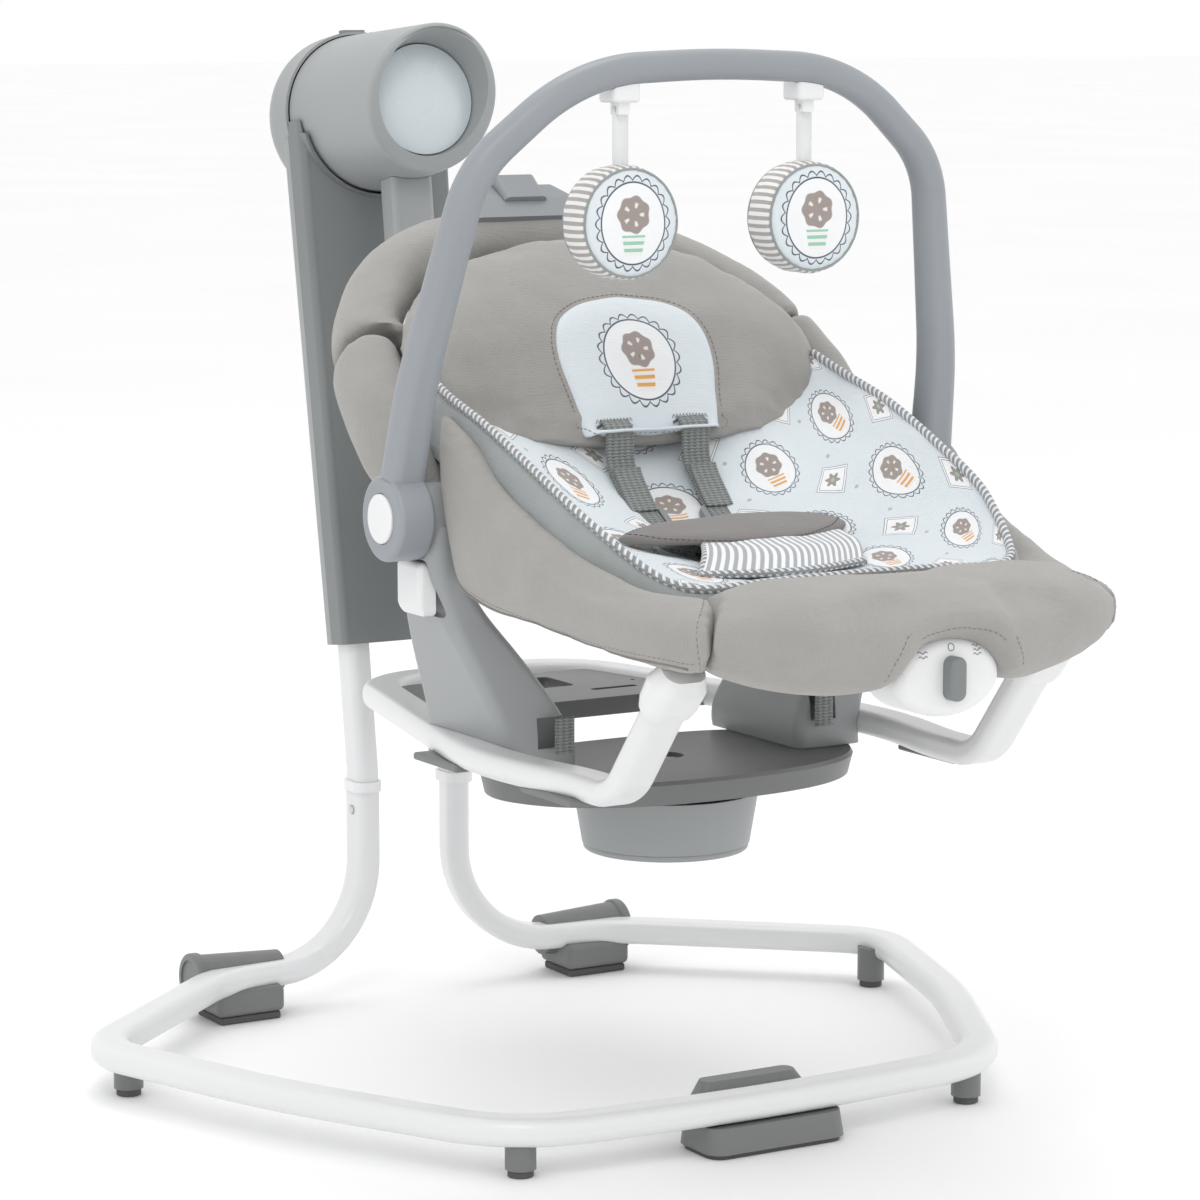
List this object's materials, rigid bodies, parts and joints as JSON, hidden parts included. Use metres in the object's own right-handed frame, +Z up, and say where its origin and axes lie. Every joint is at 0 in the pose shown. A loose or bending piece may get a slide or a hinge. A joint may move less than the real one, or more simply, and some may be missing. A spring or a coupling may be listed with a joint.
{
  "type": "baby swing",
  "caption": "Baby swing with a floor loop stand, leaning drive tower, bent swing arm and a padded rocker seat with a toy arch that lifts off a turntable.",
  "frame": {"origin": "centre of the bounding box's footprint, on the floor", "axes": "+X to the seated child's left, +Y towards the tower at the back, +Z up; the seat faces -Y"},
  "size_m": [0.7856, 0.9884, 0.8595],
  "materials": {
    "white_tube": "gloss white enamel",
    "mid_grey_plastic": "fine satin grain",
    "foot_rubber": "matte",
    "light_grey_plastic": "fine satin grain",
    "dark_grey_plastic": "fine satin grain",
    "white_plastic": "smooth",
    "disc_plastic": "smooth",
    "button_plastic": "satin",
    "arch_plastic": "satin blue-grey",
    "arm_enamel": "satin grey enamel",
    "steel": "machined",
    "gear_plastic": "natural nylon",
    "motor_can": "plated can",
    "board": "solder mask",
    "cover_cloth": "brushed polyester twill",
    "liner_cloth": "printed polyester",
    "webbing": "ribbed webbing",
    "crotch_cloth": "padded polyester",
    "toy_cloth": "stuffed printed cloth"
  },
  "bodies": {
    "stand": {"base_loop": "white_tube", "floor_feet": "mid_grey_plastic", "floor_soles": "foot_rubber", "front_plate": "mid_grey_plastic", "joint_rings": "white_plastic", "uprights": "white_tube", "tower_front_cover": "dark_grey_plastic", "tower_rear_cover": "light_grey_plastic", "tower_screws": "steel", "power_jack": "board", "shaft_bearings": "steel", "drive_motor": "motor_can", "control_board": "board"},
    "swing_arm": {"head_barrel": "light_grey_plastic", "head_disc": "disc_plastic", "swing_shaft": "steel", "drive_gear": "gear_plastic", "arm_neck": "dark_grey_plastic", "arm_tube": "arm_enamel", "hub_bowl": "light_grey_plastic", "hub_spindle": "steel"},
    "motor_pinion": {"motor_pinion": "gear_plastic"},
    "turntable": {"turntable_tray": "mid_grey_plastic"},
    "seat": {"rocker_frame": "white_tube", "rocker_pads": "mid_grey_plastic", "rear_cross_plate": "mid_grey_plastic", "leg_caps": "white_plastic", "side_brackets": "light_grey_plastic", "seat_tube": "steel", "side_panels": "cover_cloth", "foot_roll": "cover_cloth", "seat_pad": "liner_cloth", "inner_pad": "liner_cloth", "harness_buckle": "dark_grey_plastic", "harness_straps": "webbing", "strap_adjusters": "button_plastic", "crotch_pad": "crotch_cloth", "vibration_housing": "white_plastic", "vibration_motor": "motor_can"},
    "backrest": {"back_tube": "steel", "back_cover": "cover_cloth", "head_cushion": "cover_cloth", "head_inset": "liner_cloth", "recline_housing": "dark_grey_plastic"},
    "toy_arch": {"arch_tube": "arch_plastic", "hub_covers": "white_plastic", "toy_clips": "white_plastic"},
    "recline_lever": {"recline_lever": "dark_grey_plastic"},
    "release_latch_left": {"release_latch_left": "white_plastic"},
    "release_latch_right": {"release_latch_right": "white_plastic"},
    "buckle_button": {"buckle_button": "white_plastic"},
    "vibration_knob": {"vibration_knob": "dark_grey_plastic"},
    "battery_door": {"battery_door": "white_plastic"},
    "toy_left": {"toy_left": "toy_cloth"},
    "toy_right": {"toy_right": "toy_cloth"},
    "snap_pin_left": {"snap_pin_left": "steel"},
    "snap_pin_right": {"snap_pin_right": "steel"},
    "power_button": {"power_button": "button_plastic"},
    "speed_button": {"speed_button": "button_plastic"}
  },
  "joints": [
    {"name": "swing", "type": "hinge", "parent": "stand", "child": "swing_arm", "pos_m": [0, 0.296, 0.797], "axis": [0, -0.989, 0.1478], "range_deg": [-10, 10]},
    {"name": "pinion_spin", "type": "hinge", "parent": "stand", "child": "motor_pinion", "pos_m": [0, 0.4349, 0.71835], "axis": [0, -0.989, 0.1478], "range_deg": [-60, 60]},
    {"name": "turntable_turn", "type": "hinge", "parent": "swing_arm", "child": "turntable", "pos_m": [0, -0.086, 0.25], "axis": [0, 0, 1], "range_deg": [-90, 90]},
    {"name": "seat_lift_off", "type": "slide", "parent": "turntable", "child": "seat", "axis": [0, 0, 1], "range_m": [0, 0.2]},
    {"name": "backrest_recline", "type": "hinge", "parent": "seat", "child": "backrest", "pos_m": [0, -0.096, 0.49], "axis": [1, 0, 0], "range_deg": [-15, 0]},
    {"name": "recline_squeeze", "type": "slide", "parent": "backrest", "child": "recline_lever", "axis": [0, 0.788, 0.6157], "range_m": [0, 0.005], "stiffness_N_per_m": 600},
    {"name": "arch_turn", "type": "hinge", "parent": "seat", "child": "toy_arch", "pos_m": [0, -0.096, 0.49], "axis": [1, 0, 0], "range_deg": [-12, 50]},
    {"name": "toy_left_swing", "type": "hinge", "parent": "toy_arch", "child": "toy_left", "pos_m": [-0.083, -0.153, 0.796], "axis": [1, 0, 0], "range_deg": [-35, 35]},
    {"name": "toy_right_swing", "type": "hinge", "parent": "toy_arch", "child": "toy_right", "pos_m": [0.083, -0.153, 0.796], "axis": [1, 0, 0], "range_deg": [-35, 35]},
    {"name": "latch_left_push", "type": "slide", "parent": "seat", "child": "release_latch_left", "axis": [1, 0, 0], "range_m": [0, 0.003], "stiffness_N_per_m": 600},
    {"name": "latch_right_push", "type": "slide", "parent": "seat", "child": "release_latch_right", "axis": [-1, 0, 0], "range_m": [0, 0.003], "stiffness_N_per_m": 600},
    {"name": "buckle_press", "type": "slide", "parent": "seat", "child": "buckle_button", "axis": [0, 0, -1], "range_m": [0, 0.002], "stiffness_N_per_m": 500},
    {"name": "knob_turn", "type": "hinge", "parent": "seat", "child": "vibration_knob", "pos_m": [0, -0.466, 0.4], "axis": [0, 1, 0], "range_deg": [-40, 40]},
    {"name": "battery_door_open", "type": "hinge", "parent": "seat", "child": "battery_door", "pos_m": [0, -0.383, 0.3857], "axis": [1, 0, 0], "range_deg": [0, 80]},
    {"name": "pin_left_push", "type": "slide", "parent": "stand", "child": "snap_pin_left", "axis": [1, 0, 0], "range_m": [0, 0.003], "stiffness_N_per_m": 500},
    {"name": "pin_right_push", "type": "slide", "parent": "stand", "child": "snap_pin_right", "axis": [-1, 0, 0], "range_m": [0, 0.003], "stiffness_N_per_m": 500},
    {"name": "power_press", "type": "slide", "parent": "stand", "child": "power_button", "axis": [0, -0.1478, -0.989], "range_m": [0, 0.001], "stiffness_N_per_m": 500},
    {"name": "speed_press", "type": "slide", "parent": "stand", "child": "speed_button", "axis": [-0.314, -0.1403, -0.939], "range_m": [0, 0.001], "stiffness_N_per_m": 500}
  ],
  "couplings": [
    {"joint": "pinion_spin", "follows": "swing", "ratio": -5.3333}
  ]
}
